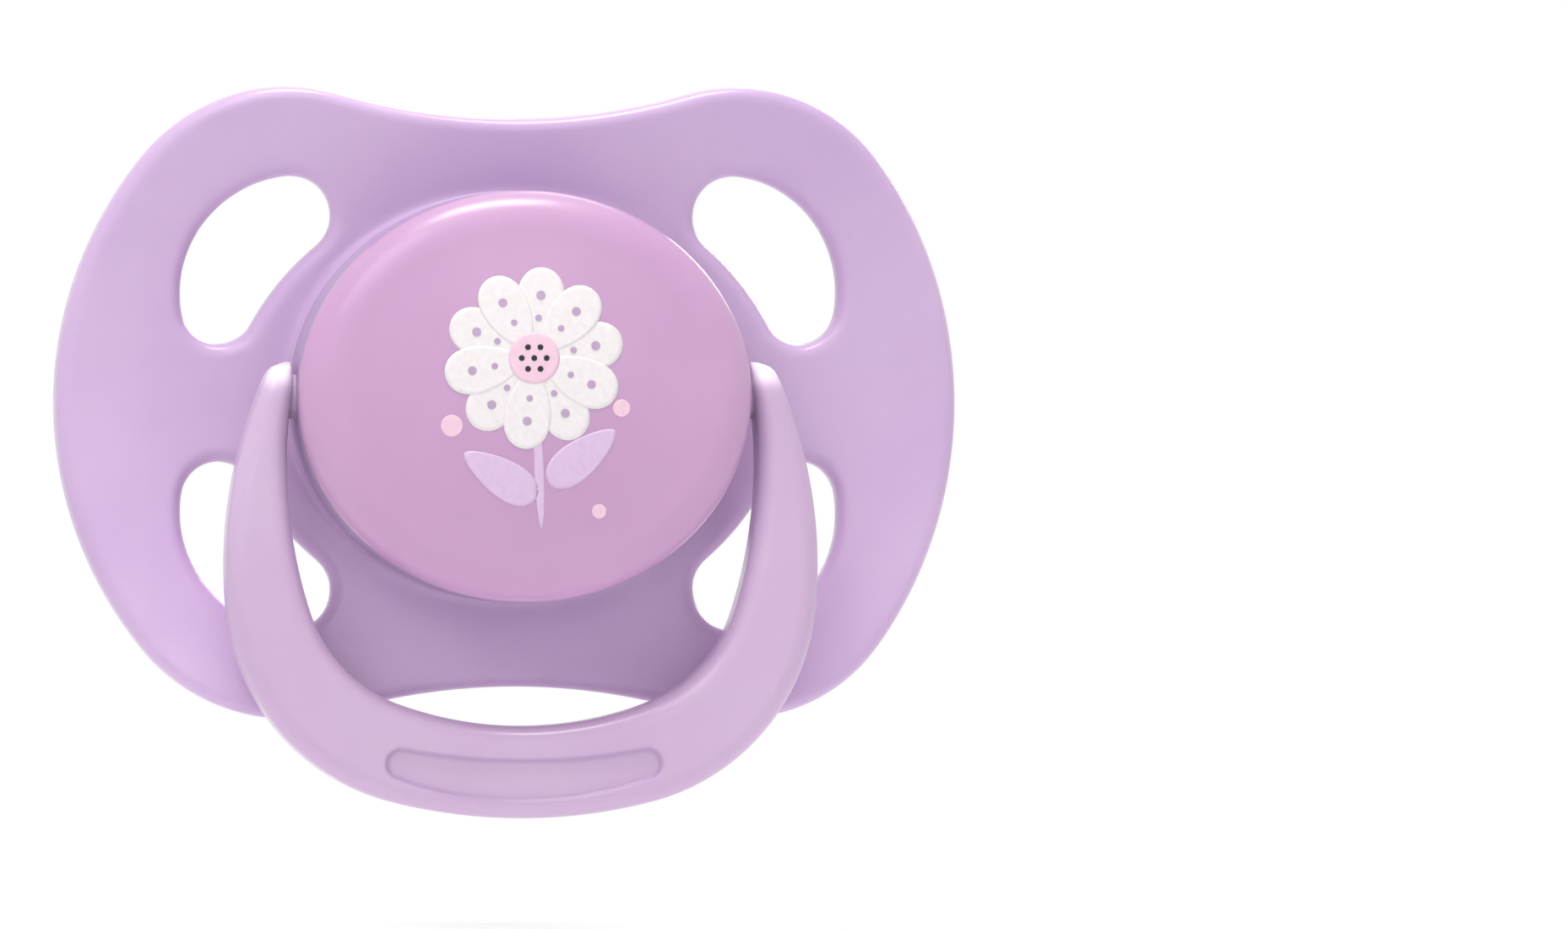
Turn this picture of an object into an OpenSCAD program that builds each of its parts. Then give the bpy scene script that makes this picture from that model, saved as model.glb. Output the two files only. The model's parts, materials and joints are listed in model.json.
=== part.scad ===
// Baby's pacifier: a vented lip shield with a hollow silicone teat behind it, and an oval
// hub in front of it that carries a swinging ring handle under a snapped-on cover.
// Axes: +X to the right seen from the front, +Y back towards the baby, +Z up.
// Origin: on the teat's axis, where it leaves the back face of the shield.

/* [Shield] */
// Overall width of the shield
shield_w = 62; // [51:1:76]
// Overall height of the shield, over its four lobes
shield_h = 43.2; // [36:0.2:52]
// Distance from the shield's side in to the highest point of a lobe
lobe_inset = 15.5; // [14:0.1:18]
// Radius of a lobe
lobe_r = 12.35; // [9:0.05:12.5]
// How far the notch at the top, and the one at the bottom, dips between the lobes
notch_depth = 2.2; // [1:0.1:3]
// How far the middle of the shield sits below the teat's axis
shield_drop = 0.4; // [0:0.1:1]
// Thickness in the middle of the shield
shield_t = 2.2; // [1.8:0.1:2.8]
// Radius of the back face from cheek to cheek, where the shield wraps round the mouth
cheek_r = 102; // [90:1:140]
// Radius of the front face from cheek to cheek, larger so that the rim is thicker
front_cheek_r = 145; // [141:1:220]
// Radius of both faces from nose to chin, where the shield leans away from the face
chin_r = 100; // [80:1:160]

/* [Vents] */
// Angle above the horizontal of a vent's upper end, seen from the hub's middle
vent_high_angle = 40.2; // [36:0.2:46]
// Angle above the horizontal of a vent's lower end
vent_low_angle = 18; // [14:0.5:24]
// Radius of a vent's upper end
vent_high_r = 2.7; // [2:0.1:3]
// Radius of a vent's lower end
vent_low_r = 2.5; // [2:0.1:3]
// Web of shield between the hub and a vent's upper end
vent_high_web = 2.3; // [1.8:0.1:3]
// Web of shield between the hub and a vent's lower end
vent_low_web = 3.2; // [2:0.1:4]
// Radius of a vent's bulging outer side
vent_outer_r = 8; // [7:0.2:11]
// Radius of a vent's hollow inner side
vent_inner_r = 18; // [14:0.5:30]

/* [Hub and cover] */
// Width of the oval hub and its cover
hub_w = 31; // [26:0.5:38]
// Height of the oval hub and its cover
hub_h = 28; // [23:0.5:34]
// Wall of the hub housing
hub_wall = 1.5; // [1.2:0.1:1.8]
// Thickness of the housing's floor in front of the teat plug
floor_t = 1.2; // [1:0.1:1.6]
// Distance from the pivot axis forward to the seam under the cover
seam_ahead = 2.6; // [2.5:0.1:3.2]
// How far the cover stands forward of that seam at its middle
cover_rise = 3.2; // [2.8:0.1:4.5]
// How much of that rise is the cover's shallow crown
crown = 0.9; // [0.4:0.1:1.4]
// How far in from the wall the cover's rounded shoulder reaches
shoulder = 3; // [2:0.1:4]
// Wall of the cover
cover_t = 1.3; // [1:0.1:1.6]
// How far the cover's skirt reaches into the housing
skirt_depth = 1.9; // [1.7:0.1:2.1]
// Wall of the cover's skirt
skirt_t = 1; // [0.8:0.1:1.2]
// How far the snap bead stands out of the skirt
bead = 0.25; // [0.15:0.05:0.3]

/* [Teat] */
// Length of the teat behind the shield
teat_len = 30.4; // [25:0.2:37]
// Height of the teat's bulb
bulb_h = 13.3; // [12:0.1:15]
// Width of the teat's bulb
bulb_w = 16; // [13:0.2:18]
// Distance from the tip forward to the widest place of the bulb
bulb_back = 8.6; // [7:0.2:10]
// Distance from the shield to the place where the neck starts to widen
neck_len = 11.5; // [9:0.5:13]
// Diameter of the neck where it leaves the shield
neck_d = 7.3; // [6.6:0.1:8.4]
// Diameter of the neck where it starts to widen
neck_top_d = 9.3; // [8.4:0.1:10]
// Wall of the teat
teat_wall = 1.5; // [1.2:0.1:1.8]
// Diameter of the flange that holds the teat in the shield
flange_d = 16.8; // [14:0.2:20.2]
// Thickness of that flange
flange_t = 1.2; // [1:0.1:1.4]

/* [Teat plug] */
// Thickness of the plug's disc
plug_t = 1.4; // [1.1:0.1:1.6]
// How far the plug's nose reaches behind the shield's back face
nose_reach = 4.2; // [2:0.2:6]
// Diameter of the air hole through the plug
air_hole_d = 1; // [0.6:0.1:1.4]

/* [Ring handle] */
// Distance from the pivot axis down to the ring's outer edge
ring_reach = 28.7; // [24:0.1:35]
// Height of the grip bar at the bottom of the ring
bar_h = 6.3; // [5:0.1:7]
// Widest width of an arm
arm_w = 4.15; // [3.6:0.05:5]
// How far the opening widens below the pivots
arm_flare = 0.35; // [0.2:0.05:1]
// Thickness of the ring from front to back
ring_t = 4.7; // [4:0.1:5.2]
// Width of the thumb pad sunk in both faces of the grip bar
pad_w = 18.8; // [12:0.2:22]
// Height of the thumb pad in the middle
pad_h = 2.75; // [2:0.05:3.5]
// Distance from the ring's outer edge up to the thumb pad
pad_margin = 1.2; // [0.8:0.1:2]
// Depth of the thumb pad
pad_depth = 0.35; // [0.2:0.05:0.5]
// Diameter of the pivot pins
pin_d = 3; // [2.4:0.1:3.6]
// Gap between the ring's back face and the shield's bottom edge
ring_gap = 0.8; // [0.6:0.1:1.5]

/* [Fits] */
// Gap between the hub and each arm of the ring
arm_gap = 0.25; // [0.15:0.05:0.4]
// Radial clearance of the pivot pins in their bores
pin_clearance = 0.05; // [0.02:0.01:0.08]
// Clearance round pieces that are assembled and stay put
fit_gap = 0.1; // [0.05:0.01:0.15]
// Diameter of the four pegs that hold the housing to the shield
peg_d = 2.2; // [1.8:0.1:2.4]

/* [Hidden] */
$fn = 64;
arc_steps = 10;

hub_a = hub_w / 2;
hub_b = hub_h / 2;
inner_a = hub_a - hub_wall;
inner_b = hub_b - hub_wall;

// The front face of the shield at height z, at x = 0, and the flat land that the hub sits on
function face_y(z) = -shield_t - chin_r + sqrt(pow(chin_r, 2) - pow(z, 2));
land_y = face_y(hub_b + shield_drop) - 0.2;
recess_y = land_y + flange_t;
floor_y = land_y - plug_t - floor_t;

// The pivot axis lies far enough forward for the ring to hang clear of the shield
pivot_y = face_y(shield_h / 2 - notch_depth) - ring_gap - ring_t / 2;
seam_y = pivot_y - seam_ahead;
apex_y = seam_y - cover_rise;
pin_r = pin_d / 2;
bore_r = pin_r + pin_clearance;
boss_r = bore_r + 0.85;
boss_x = inner_a - 2.4;
pin_tip_x = boss_x + 0.6;
bead_from = 1.1;
bead_h = 0.5;
pad_low_r = 25;
pad_end_r = 1;

flange_r = flange_d / 2;
plug_r = flange_r;
bore_in_teat = neck_d / 2 - teat_wall;
nose_r = bore_in_teat - fit_gap;
peg_r = peg_d / 2;
peg_head_r = peg_r + 0.6;
peg_head_t = 0.6;
peg_angle = 36;
// The pegs stand between the pocket of the flange and the housing's wall, nearer to the pocket
pocket_r = flange_r + fit_gap;
peg_ring = pocket_r + (oval_edge(inner_a, inner_b, peg_angle) - pocket_r) * 0.45;

// ---- Outlines drawn with circles that touch each other ----

// Where a circle of radius r1 round c1 meets one of radius r2 round c2, on the left or right of c1 to c2
function meet(c1, r1, c2, r2, side) =
  let (d = norm(c2 - c1), u = (c2 - c1) / d, a = (d * d + r1 * r1 - r2 * r2) / (2 * d))
  c1 + a * u + side * sqrt(max(0, r1 * r1 - a * a)) * [-u[1], u[0]];

// Points on an arc round c from angle a to angle b, in degrees
function arc(c, r, a, b, steps = arc_steps) =
  [for (i = [0:steps]) c + r * [cos(a + (b - a) * i / steps), sin(a + (b - a) * i / steps)]];

// Distance from the middle of an oval with half axes a and b to its edge
function oval_edge(a, b, angle) = a * b / norm([b * cos(angle), a * sin(angle)]);

function heading(from, to) = atan2(to[1] - from[1], to[0] - from[0]);

// The shorter way round from angle a to angle b
function near_angle(a, b) = b - a > 180 ? b - 360 : b - a < -180 ? b + 360 : b;

// A closed outline through circles [x, y, r] that touch in turn, anticlockwise. r is negative
// where the outline runs round the outside of the circle, as in a hollow.
function touch_angle(a, b) =
  let (far = heading([a[0], a[1]], [b[0], b[1]]))
  a[2] > 0 && b[2] > 0 && a[2] > b[2] ? far :
  a[2] > 0 && b[2] > 0 ? far + 180 : far;
function round_outline(circles) = [
  for (i = [0:len(circles) - 1])
    let (
      n = len(circles),
      me = circles[i],
      last = circles[(i + n - 1) % n],
      next = circles[(i + 1) % n],
      from = touch_angle(me, last),
      to = near_angle(from, touch_angle(me, next))
    )
    for (p = arc([me[0], me[1]], abs(me[2]), from, to)) p
];

function mirror_x(c) = [-c[0], c[1], c[2]];
function mirror_y(c) = [c[0], -c[1], c[2]];

// A closed skin through oval rings round the Y axis, with a point on the axis at each end. Each
// ring is [y, half width, half height], and the first end faces +Y unless flipped.
module oval_skin(rows, start_y, end_y, sides = 40) {
  n = len(rows);
  flip = start_y < end_y;
  points = concat(
    [[0, start_y, 0]],
    [for (row = rows, k = [0:sides - 1])
      let (turn = (flip ? -360 : 360) * k / sides)
      [row[1] * cos(turn), row[0], row[2] * sin(turn)]],
    [[0, end_y, 0]]
  );
  function at(i, k) = 1 + i * sides + k % sides;
  polyhedron(points, concat(
    [for (k = [0:sides - 1]) [0, at(0, k), at(0, k + 1)]],
    [for (i = [0:n - 2], k = [0:sides - 1]) each [
      [at(i, k), at(i + 1, k), at(i + 1, k + 1)],
      [at(i, k), at(i + 1, k + 1), at(i, k + 1)]
    ]],
    [for (k = [0:sides - 1]) [at(n - 1, k), n * sides + 1, at(n - 1, k + 1)]]
  ));
}

// ---- Shield ----

lobe_x = shield_w / 2 - lobe_inset;
lobe_z = shield_h / 2;
// The round side touches both lobes on its right, and its widest point is at half the width
side_r = (pow(lobe_inset, 2) + pow(lobe_z - lobe_r, 2) - pow(lobe_r, 2)) / (2 * (lobe_inset - lobe_r));
notch_r = (pow(lobe_x, 2) + pow(notch_depth, 2)) / (2 * notch_depth) - lobe_r;

shield_circles =
  let (
    side = [shield_w / 2 - side_r, 0, side_r],
    lobe = [lobe_x, lobe_z - lobe_r, lobe_r],
    notch = [0, lobe_z - notch_depth + notch_r, -notch_r]
  )
  [
    side, lobe, notch, mirror_x(lobe),
    mirror_x(side), mirror_x(mirror_y(lobe)), mirror_y(notch), mirror_y(lobe)
  ];

// Centre of a vent's end, a web's width clear of the hub
function vent_end(angle, web, r) =
  (oval_edge(hub_a, hub_b, angle) + web + r) * [cos(angle), sin(angle)];

vent_circles =
  let (
    high = vent_end(vent_high_angle, vent_high_web, vent_high_r),
    low = vent_end(vent_low_angle, vent_low_web, vent_low_r),
    outer = meet(low, vent_outer_r - vent_low_r, high, vent_outer_r - vent_high_r, 1),
    inner = meet(low, vent_inner_r + vent_low_r, high, vent_inner_r + vent_high_r, 1)
  )
  [
    [low[0], low[1], vent_low_r],
    [outer[0], outer[1], vent_outer_r],
    [high[0], high[1], vent_high_r],
    [inner[0], inner[1], -vent_inner_r]
  ];

// A waisted spool behind the shield, whose waist touches y = front_y. Its front curves by
// cheek_radius from cheek to cheek and by chin_r from nose to chin.
module saddle(cheek_radius, front_y) {
  half = shield_h * 0.62;
  translate([0, front_y + cheek_radius, 0])
    rotate_extrude($fn = 200)
      difference() {
        translate([0, -half])
          square([cheek_radius + chin_r / 2, 2 * half]);
        translate([cheek_radius + chin_r, 0])
          circle(chin_r, $fn = 200);
      }
}

// Turns a flat drawing, x to the right and y up, into a slab from y0 back to y1
module upright(y0, y1) {
  translate([0, y1, 0])
    rotate([90, 0, 0])
      linear_extrude(y1 - y0)
        children();
}

module oval(a, b) {
  scale([1, b / a])
    circle(a, $fn = 96);
}

module at_pegs() {
  for (side = [0, 180], way = [-1, 1])
    rotate([0, side + way * peg_angle, 0])
      translate([peg_ring, 0, 0])
        rotate([90, 0, 0])
          children();
}

module shield() {
  color([0.80, 0.69, 0.84])
    difference() {
      union() {
        translate([0, 0, -shield_drop])
          intersection() {
            difference() {
              saddle(front_cheek_r, -shield_t);
              saddle(cheek_r, 0);
            }
            upright(2 * land_y, shield_w / 4)
              polygon(round_outline(shield_circles));
          }
        difference() {
          upright(land_y, -shield_t / 2)
            oval(hub_a, hub_b);
          translate([0, 0, -shield_drop])
            saddle(cheek_r, 0);
        }
        // Pegs staked over in front of the housing's floor
        at_pegs() {
          translate([0, 0, -land_y - 0.5])
            cylinder(r = peg_r, h = land_y - floor_y + 0.5);
          translate([0, 0, -floor_y])
            cylinder(r = peg_head_r, h = peg_head_t);
        }
      }
      for (flip = [0, 1], turn = [0, 1])
        mirror([flip, 0, 0])
          mirror([0, 0, turn])
            translate([0, 0, turn ? shield_drop : -shield_drop])
              upright(2 * land_y, shield_w / 4)
                polygon(round_outline(vent_circles));
      rotate([90, 0, 0]) {
        cylinder(r = neck_d / 2 + fit_gap, h = shield_w, center = true);
        translate([0, 0, -recess_y])
          cylinder(r = pocket_r, h = shield_w);
      }
    }
}

// ---- Hub ----

module hub_housing() {
  color([0.79, 0.67, 0.83])
    difference() {
      union() {
        difference() {
          upright(seam_y, land_y)
            oval(hub_a, hub_b);
          upright(seam_y - 1, floor_y)
            oval(inner_a, inner_b);
        }
        intersection() {
          upright(seam_y + 2 * fit_gap, floor_y + floor_t / 2)
            oval(hub_a - hub_wall / 2, hub_b - hub_wall / 2);
          translate([0, pivot_y, 0])
            rotate([0, 90, 0])
              difference() {
                cylinder(r = boss_r, h = hub_w, center = true);
                cylinder(r = boss_r + 1, h = 2 * boss_x, center = true);
              }
        }
      }
      // Snap groove for the cover's bead
      upright(seam_y + bead_from - fit_gap, seam_y + bead_from + bead_h + fit_gap)
        difference() {
          oval(inner_a + bead, inner_b + bead);
          square([hub_w, 2 * boss_r], center = true);
        }
      // Pocket for the plug's disc, the plug's air way, and the peg holes
      rotate([90, 0, 0]) {
        translate([0, 0, -land_y - 1])
          cylinder(r = pocket_r, h = plug_t + 1);
        cylinder(r = nose_r, h = hub_w);
      }
      at_pegs() {
        cylinder(r = peg_r + fit_gap / 2, h = hub_w);
        translate([0, 0, -floor_y])
          cylinder(r = peg_head_r + fit_gap / 2, h = peg_head_t + fit_gap);
      }
      translate([0, pivot_y, 0])
        rotate([0, 90, 0])
          cylinder(r = bore_r, h = hub_w + 2, center = true);
    }
}

// Size of the cover's outside at angle a round its shoulder, as [y, half width, half height]
function shoulder_row(a) =
  let (inset = shoulder * (1 - cos(a)))
  [seam_y - (cover_rise - crown) * sin(a), hub_a - inset, hub_b - inset];
// The same on the shallow crown, where t runs from 1 at the shoulder to 0 at the middle
function crown_row(t) =
  [apex_y + crown * t * t, (hub_a - shoulder) * t, (hub_b - shoulder) * t];

module cover() {
  skirt_a = inner_a - fit_gap;
  skirt_b = inner_b - fit_gap;
  roof_y = apex_y + crown + cover_t;
  color([0.81, 0.64, 0.80])
    difference() {
      union() {
        oval_skin(
          concat([for (t = [0.3, 0.6, 0.85]) crown_row(t)], [for (a = [84:-12:0]) shoulder_row(a)]),
          apex_y, seam_y, 72
        );
        upright(seam_y - cover_t / 2, seam_y + skirt_depth)
          oval(skirt_a, skirt_b);
        // Snap bead
        upright(seam_y + bead_from, seam_y + bead_from + bead_h)
          oval(skirt_a + bead, skirt_b + bead);
      }
      upright(roof_y, seam_y + 2 * skirt_depth)
        oval(skirt_a - skirt_t, skirt_b - skirt_t);
      // The skirt is cut away round the pivot bosses
      for (side = [0, 1])
        mirror([side, 0, 0])
          translate([boss_x - skirt_t, seam_y + fit_gap, -boss_r - skirt_t])
            cube([hub_a, 2 * skirt_depth, 2 * boss_r + 2 * skirt_t]);
    }
}

// ---- Teat ----

function blend(t) = 0.5 - 0.5 * cos(180 * min(1, max(0, t)));
widest_y = teat_len - bulb_back;

// Half the height, or with wide = true half the width, of the teat's outside at distance y
function neck_r(y) = (neck_d + (neck_top_d - neck_d) * max(0, y) / neck_len) / 2;
function bulb_r(y, wide) =
  let (
    full = (wide ? bulb_w : bulb_h) / 2,
    past = min(1, max(0, (y - widest_y) / bulb_back))
  )
  y > widest_y
    ? full * pow(1 - pow(past, 2.2), 1 / 2.2)
    : neck_top_d / 2 + (full - neck_top_d / 2) * blend((y - neck_len) / (widest_y - neck_len));
function teat_r(y, wide) = y < neck_len ? neck_r(y) : bulb_r(y, wide);

// Stations from the flange to the tip, closer together towards the round tip
function tip_rows(y0, y1) = [for (a = [0:7.5:82.5]) y0 + (y1 - y0) * sin(a)];
outer_rows = concat([for (t = [0:0.1:0.91]) widest_y * t], tip_rows(widest_y, teat_len));

// Inside and outside as one list of [y, half width, half height], from outer tip to inner tip
function outside_row(y) = [y, teat_r(y, true), teat_r(y, false)];
function inside_row(y) =
  let (out = outside_row(y))
  [min(y, teat_len - teat_wall), out[1] - teat_wall, out[2] - teat_wall];
function inner_tip(k) =
  let (reach = teat_len - teat_wall - widest_y, s = pow(1 - pow(sin(k), 2.2), 1 / 2.2))
  [widest_y + reach * sin(k), (bulb_w / 2 - teat_wall) * s, (bulb_h / 2 - teat_wall) * s];

teat_rows = concat(
  [for (i = [len(outer_rows) - 1:-1:0]) outside_row(outer_rows[i])],
  [[recess_y, neck_d / 2, neck_d / 2], [recess_y, flange_r, flange_r], [land_y, flange_r, flange_r]],
  [[land_y, bore_in_teat, bore_in_teat]],
  [for (t = [0:0.1:0.91]) inside_row(widest_y * t)],
  [for (k = [0:7.5:82.5]) inner_tip(k)]
);

module teat() {
  color([0.95, 0.95, 0.94, 0.6])
    oval_skin(teat_rows, teat_len, teat_len - teat_wall);
}

module teat_plug() {
  color([0.84, 0.68, 0.82])
    rotate([90, 0, 0])
      difference() {
        union() {
          translate([0, 0, -land_y])
            cylinder(r = plug_r, h = plug_t - fit_gap);
          translate([0, 0, -nose_reach])
            cylinder(r = nose_r, h = nose_reach - land_y + 0.2);
          translate([0, 0, -nose_reach])
            sphere(nose_r);
        }
        cylinder(d = air_hole_d, h = 4 * teat_len, center = true);
      }
}

// ---- Ring handle ----

// The ring's outer edge and its opening are each five circles: a long one across the bottom,
// a tighter one at each corner and a long one up each arm.
arm_in = hub_a + arm_gap;
opening = arm_in + arm_flare;
ring_out = opening + arm_w;

function ring_circles(half_w, wide_z, bottom, bottom_r, corner_r, arm_r) =
  let (
    base = [0, bottom_r - bottom],
    arm = [half_w - arm_r, wide_z],
    corner = meet(base, bottom_r - corner_r, arm, arm_r - corner_r, 1)
  )
  [
    [base[0], base[1], bottom_r],
    [corner[0], corner[1], corner_r],
    [arm[0], arm[1], arm_r]
  ];

// The outline from the bottom up the right arm to height top, and the same on the left
function ring_side(c, top) =
  let (
    base = [c[0][0], c[0][1]],
    corner = [c[1][0], c[1][1]],
    arm = [c[2][0], c[2][1]],
    low = heading(base, corner),
    high = heading(arm, corner)
  )
  concat(
    arc(base, c[0][2], -90, low),
    arc(corner, c[1][2], low, high),
    arc(arm, c[2][2], high, asin((top - arm[1]) / c[2][2]))
  );
function both_sides(half) = concat(
  half,
  [for (i = [len(half) - 1:-1:0]) [-half[i][0], half[i][1]]]
);

// Radii of the bottom, the corners and the arms, and the height at which each edge is widest
outer_circles = ring_circles(ring_out, -11.5, ring_reach, 36, 15, 31.5);
inner_circles = ring_circles(opening, -4.5, ring_reach - bar_h, 25, 10, 33);

// The thumb pad is a flat crescent: one circle along its bottom, a small one at each end, and the
// hollow one that touches both ends and passes through the middle of its top.
pad_z = -ring_reach + pad_margin;
pad_end_x = pad_w / 2 - pad_end_r;
pad_end = [pad_end_x, pad_z + pad_low_r - sqrt(pow(pad_low_r - pad_end_r, 2) - pow(pad_end_x, 2))];
pad_rise = pad_z + pad_h - pad_end[1];
pad_high_r = (pow(pad_end[0], 2) + pow(pad_rise, 2) - pow(pad_end_r, 2)) / (2 * (pad_end_r - pad_rise));
pad_circles = [
  [0, pad_z + pad_low_r, pad_low_r],
  [pad_end[0], pad_end[1], pad_end_r],
  [0, pad_z + pad_h + pad_high_r, -pad_high_r],
  [-pad_end[0], pad_end[1], pad_end_r]
];

module ring_handle() {
  end_r = ring_t / 2;
  color([0.83, 0.71, 0.84])
    translate([0, pivot_y, 0]) {
      difference() {
        intersection() {
          upright(-ring_t / 2, ring_t / 2)
            polygon(both_sides(ring_side(outer_circles, end_r)));
          // The arms end in a half round about the pivot axis
          union() {
            rotate([0, 90, 0])
              cylinder(r = end_r, h = 4 * hub_w, center = true);
            translate([-2 * hub_w, -end_r, -2 * ring_reach])
              cube([4 * hub_w, ring_t, 2 * ring_reach]);
          }
        }
        upright(-ring_t, ring_t)
          polygon(both_sides(ring_side(inner_circles, 0)));
        translate([-arm_in, -ring_t, -4])
          cube([2 * arm_in, 2 * ring_t, 4 + ring_t]);
        for (side = [0, 1])
          mirror([0, side, 0])
            upright(-ring_t, -ring_t / 2 + pad_depth)
              polygon(round_outline(pad_circles));
      }
      for (side = [0, 1])
        mirror([side, 0, 0])
          translate([pin_tip_x, 0, 0])
            rotate([0, 90, 0])
              cylinder(r = pin_r, h = arm_in - pin_tip_x + 0.5);
    }
}

shield();
hub_housing();
teat();
teat_plug();
cover();
ring_handle();
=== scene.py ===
# %% [markdown]
# # A baby's pacifier in satin plastic and clear silicone
# The construction model already holds every piece at its real size, and MuJoCo swings the ring on
# it. This lesson loads that model, models the outside of each visible piece again with soft
# moulded edges, prints a small flower on the cover, and gives every surface its own finish.

# %% The frame
import json
import math
import random
import bmesh
import bpy
import numpy as np
from mathutils import Matrix, Vector


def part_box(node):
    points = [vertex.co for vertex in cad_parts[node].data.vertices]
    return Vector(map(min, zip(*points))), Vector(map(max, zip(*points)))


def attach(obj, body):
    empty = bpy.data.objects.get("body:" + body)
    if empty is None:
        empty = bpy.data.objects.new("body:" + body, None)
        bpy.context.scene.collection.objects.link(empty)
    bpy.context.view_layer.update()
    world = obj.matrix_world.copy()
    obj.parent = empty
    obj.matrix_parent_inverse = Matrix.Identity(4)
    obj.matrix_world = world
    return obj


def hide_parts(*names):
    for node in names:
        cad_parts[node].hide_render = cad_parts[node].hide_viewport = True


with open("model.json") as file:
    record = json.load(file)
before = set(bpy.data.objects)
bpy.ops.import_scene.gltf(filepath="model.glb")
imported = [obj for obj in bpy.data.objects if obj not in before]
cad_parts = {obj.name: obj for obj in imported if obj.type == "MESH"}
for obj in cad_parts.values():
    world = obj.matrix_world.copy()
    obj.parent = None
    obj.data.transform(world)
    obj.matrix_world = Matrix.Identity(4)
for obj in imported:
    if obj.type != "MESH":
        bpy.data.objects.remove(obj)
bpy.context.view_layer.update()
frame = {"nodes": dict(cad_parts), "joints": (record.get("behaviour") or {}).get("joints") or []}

mm = 0.001

# %% [markdown]
# ## Sizes
# Every place below comes from the boxes of the construction pieces. The ring's joint gives the
# pivot, the cover gives the oval of the hub, and the shield gives its own width and height. Only
# the radii that a box can't tell are written down here.

# %% Sizes read from the frame
shield_low, shield_high = (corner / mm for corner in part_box("shield"))
cover_low, cover_high = (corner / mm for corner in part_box("cover"))
hub_low, hub_high = (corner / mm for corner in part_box("hub_housing"))
teat_low, teat_high = (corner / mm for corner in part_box("teat"))
ring_low, ring_high = (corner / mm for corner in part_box("ring_handle"))
pivot_y = frame["joints"][0]["pos_m"][1] / mm

hub_a, hub_b = cover_high.x, cover_high.z
seam_y, land_y, apex_y = hub_low.y, hub_high.y, cover_low.y
half_w = shield_high.x
half_h = (shield_high.z - shield_low.z) / 2
shield_z = (shield_high.z + shield_low.z) / 2
print(f"pivot at y {pivot_y:.2f}, hub oval {2 * hub_a:.1f} x {2 * hub_b:.1f}, seam at y {seam_y:.2f}")

# %% [markdown]
# ## Outlines made of circles that touch
# A moulded outline like this one is drawn with a compass: big circles for the long sides, small
# ones for the corners, and hollow ones for the notches, each touching the next. The function
# walks round them and returns points. A negative radius marks a hollow.

# %% The compass
def heading(a, b):
    return math.atan2(b[1] - a[1], b[0] - a[0])


def arc(circle, start, stop, count):
    x, z, r = circle
    angles = [start + (stop - start) * i / count for i in range(count + 1)]
    return [(x + abs(r) * math.cos(t), z + abs(r) * math.sin(t)) for t in angles]


def touch(me, other):
    """Direction from circle me to the point where it touches the other."""
    away = me[2] > 0 and other[2] > 0 and me[2] < other[2]
    return heading(me, other) + (math.pi if away else 0)


def outline(circles, count=24):
    points = []
    for i, me in enumerate(circles):
        start = touch(me, circles[i - 1])
        turn = touch(me, circles[(i + 1) % len(circles)]) - start
        turn = (turn + math.pi) % (2 * math.pi) - math.pi
        points += arc(me, start, start + turn, count)[:-1]
    return np.array(points)


def meet(c1, r1, c2, r2, side):
    """Where a circle of radius r1 round c1 meets one of r2 round c2, left (1) or right (-1)."""
    c1, c2 = Vector(c1), Vector(c2)
    d = (c2 - c1).length
    u = (c2 - c1) / d
    a = (d * d + r1 * r1 - r2 * r2) / (2 * d)
    return c1 + a * u + side * math.sqrt(r1 * r1 - a * a) * Vector((-u.y, u.x))


def ways(loop):
    """How far along the closed outline each of its points lies, with the whole length last."""
    return np.concatenate([[0], np.cumsum(np.linalg.norm(np.roll(loop, -1, axis=0) - loop, axis=1))])


def along(loop, steps):
    """The places at the given distances along the closed outline."""
    closed = np.vstack([loop, loop[:1]])
    return np.column_stack([np.interp(steps, ways(loop), closed[:, k]) for k in (0, 1)])


def beside(points, distance):
    """The closed outline moved sideways: to its right as it runs if distance is positive."""
    way = np.roll(points, -1, axis=0) - np.roll(points, 1, axis=0)
    way /= np.linalg.norm(way, axis=1)[:, None]
    return points + distance * np.column_stack([way[:, 1], -way[:, 0]])


def finish_mesh(bm, name, body="pacifier", smooth=True):
    """Turns millimetres into metres, makes the object and lets it ride on its body."""
    bmesh.ops.scale(bm, vec=(mm,) * 3, verts=bm.verts)
    for face in bm.faces:
        face.smooth = smooth
    mesh = bpy.data.meshes.new(name)
    bm.to_mesh(mesh)
    bm.free()
    piece = bpy.data.objects.new(name, mesh)
    bpy.context.scene.collection.objects.link(piece)
    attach(piece, body)
    print(name, len(mesh.polygons), "faces")
    return piece


# %% [markdown]
# ## The shield
# The shield is a thin saddle: hollow from cheek to cheek, so that it wraps round the mouth, and
# leaning away from the face towards nose and chin. A boolean would leave ragged faces round the
# vents. Instead, loops are bridged from the teat's hole out to the lobed edge, a patch of the net
# is opened for each vent, and the rest is relaxed until it flows round the openings.

# %% The shield's outlines
lobe_inset, lobe_r, notch_depth = 15.5, 12.35, 2.2
lobe_x = half_w - lobe_inset
side_r = (lobe_inset**2 + (half_h - lobe_r) ** 2 - lobe_r**2) / (2 * (lobe_inset - lobe_r))
notch_r = (lobe_x**2 + notch_depth**2) / (2 * notch_depth) - lobe_r
notch_z = half_h - notch_depth + notch_r
side = (half_w - side_r, 0, side_r)
shield_edge = outline([
    side, (lobe_x, half_h - lobe_r, lobe_r), (0, notch_z, -notch_r), (-lobe_x, half_h - lobe_r, lobe_r),
    (-side[0], 0, side_r), (-lobe_x, lobe_r - half_h, lobe_r), (0, -notch_z, -notch_r),
    (lobe_x, lobe_r - half_h, lobe_r),
])
shield_edge[:, 1] += shield_z


def oval_reach(angle):
    return hub_a * hub_b / math.hypot(hub_b * math.cos(angle), hub_a * math.sin(angle))


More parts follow.
